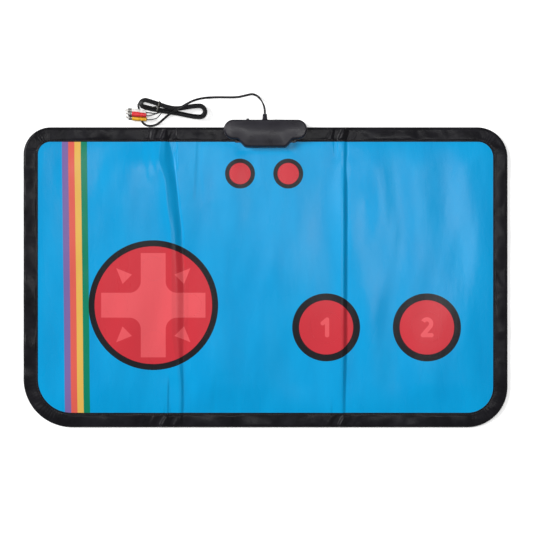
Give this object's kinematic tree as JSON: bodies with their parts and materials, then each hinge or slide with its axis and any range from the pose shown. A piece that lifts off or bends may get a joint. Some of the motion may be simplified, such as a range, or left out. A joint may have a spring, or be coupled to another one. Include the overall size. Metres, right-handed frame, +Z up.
{
  "type": "electronic dance mat",
  "caption": "Folding floor mat with pressure pads, a control box at its back edge and a wound AV lead with phono plugs.",
  "frame": {"origin": "on the floor, at the middle of the centre panel's underside below the middle of the mat", "axes": "+Z up out of the mat's printed face, +X along its length to the right, +Y to the back edge with the control box"},
  "size_m": [0.8, 0.5526, 0.023],
  "materials": {
    "cover_vinyl": "printed satin vinyl",
    "pad_vinyl": "printed satin vinyl",
    "binding_vinyl": "soft vinyl cloth, satin",
    "backing_fabric": "dimpled non-slip cloth, matte",
    "foam": "closed-cell foam, matte",
    "contact_film": "printed circuit film",
    "case_plastic": "fine moulded texture",
    "cord_vinyl": "soft vinyl, satin",
    "bright_metal": "plated",
    "cell_sleeve": "printed sleeve, satin",
    "circuit_board": "solder resist, satin",
    "chip_resin": "poured resin, glossy",
    "wire_tie": "vinyl on wire, satin",
    "white_moulding": "moulded vinyl, satin",
    "red_moulding": "moulded vinyl, satin",
    "yellow_moulding": "moulded vinyl, satin"
  },
  "bodies": {
    "centre_panel": {"centre_backing": "backing_fabric", "centre_base_foam": "foam", "centre_contact_film": "contact_film", "centre_spacer_foam": "foam", "centre_cover": "cover_vinyl", "centre_front_binding": "binding_vinyl", "centre_back_left_binding": "binding_vinyl", "centre_back_right_binding": "binding_vinyl", "box_lower_shell": "case_plastic", "box_upper_shell": "case_plastic", "strain_relief": "case_plastic", "battery_cell_1": "cell_sleeve", "battery_cell_2": "cell_sleeve", "battery_cell_3": "cell_sleeve", "left_battery_contacts": "bright_metal", "right_battery_contacts": "bright_metal", "circuit_board": "circuit_board", "game_chip": "chip_resin", "switch_housing": "bright_metal", "case_screw_1": "bright_metal", "case_screw_2": "bright_metal", "case_screw_3": "bright_metal", "av_cord": "cord_vinyl", "cord_hank": "cord_vinyl", "wire_tie": "wire_tie", "white_lead": "cord_vinyl", "white_plug_body": "white_moulding", "white_plug_ring": "bright_metal", "white_plug_pin": "bright_metal", "red_lead": "cord_vinyl", "red_plug_body": "red_moulding", "red_plug_ring": "bright_metal", "red_plug_pin": "bright_metal", "yellow_lead": "cord_vinyl", "yellow_plug_body": "yellow_moulding", "yellow_plug_ring": "bright_metal", "yellow_plug_pin": "bright_metal"},
    "left_panel": {"left_backing": "backing_fabric", "left_base_foam": "foam", "left_contact_film": "contact_film", "left_spacer_foam": "foam", "left_cover": "cover_vinyl", "left_binding": "binding_vinyl"},
    "right_panel": {"right_backing": "backing_fabric", "right_base_foam": "foam", "right_contact_film": "contact_film", "right_spacer_foam": "foam", "right_cover": "cover_vinyl", "right_binding": "binding_vinyl"},
    "up_pad": {"up_pad": "pad_vinyl"},
    "down_pad": {"down_pad": "pad_vinyl"},
    "left_pad": {"left_pad": "pad_vinyl"},
    "right_pad": {"right_pad": "pad_vinyl"},
    "action_pad_one": {"action_pad_one": "pad_vinyl"},
    "action_pad_two": {"action_pad_two": "pad_vinyl"},
    "reset_pad": {"reset_pad": "pad_vinyl"},
    "start_pad": {"start_pad": "pad_vinyl"},
    "switch_slider": {"switch_slider": "case_plastic"},
    "battery_door": {"battery_door": "case_plastic"}
  },
  "joints": [
    {"name": "left_fold", "type": "hinge", "parent": "centre_panel", "child": "left_panel", "pos_m": [-0.147, 0, 0.0085], "axis": [0, 1, 0], "range_deg": [0, 168]},
    {"name": "right_fold", "type": "hinge", "parent": "centre_panel", "child": "right_panel", "pos_m": [0.13, 0, -0.0003], "axis": [0, 1, 0], "range_deg": [0, 179.5]},
    {"name": "up_press", "type": "slide", "parent": "left_panel", "child": "up_pad", "axis": [0, 0, -1], "range_m": [0, 0.0019], "stiffness_N_per_m": 400},
    {"name": "down_press", "type": "slide", "parent": "left_panel", "child": "down_pad", "axis": [0, 0, -1], "range_m": [0, 0.0019], "stiffness_N_per_m": 400},
    {"name": "left_press", "type": "slide", "parent": "left_panel", "child": "left_pad", "axis": [0, 0, -1], "range_m": [0, 0.0019], "stiffness_N_per_m": 400},
    {"name": "right_press", "type": "slide", "parent": "centre_panel", "child": "right_pad", "axis": [0, 0, -1], "range_m": [0, 0.0019], "stiffness_N_per_m": 400},
    {"name": "action_press_one", "type": "slide", "parent": "centre_panel", "child": "action_pad_one", "axis": [0, 0, -1], "range_m": [0, 0.0019], "stiffness_N_per_m": 400},
    {"name": "action_press_two", "type": "slide", "parent": "right_panel", "child": "action_pad_two", "axis": [0, 0, -1], "range_m": [0, 0.0019], "stiffness_N_per_m": 400},
    {"name": "reset_press", "type": "slide", "parent": "centre_panel", "child": "reset_pad", "axis": [0, 0, -1], "range_m": [0, 0.0019], "stiffness_N_per_m": 400},
    {"name": "start_press", "type": "slide", "parent": "centre_panel", "child": "start_pad", "axis": [0, 0, -1], "range_m": [0, 0.0019], "stiffness_N_per_m": 400},
    {"name": "power_switch", "type": "slide", "parent": "centre_panel", "child": "switch_slider", "axis": [1, 0, 0], "range_m": [0, 0.003]},
    {"name": "battery_door_slide", "type": "slide", "parent": "centre_panel", "child": "battery_door", "axis": [0, 1, 0], "range_m": [0, 0.01]}
  ]
}
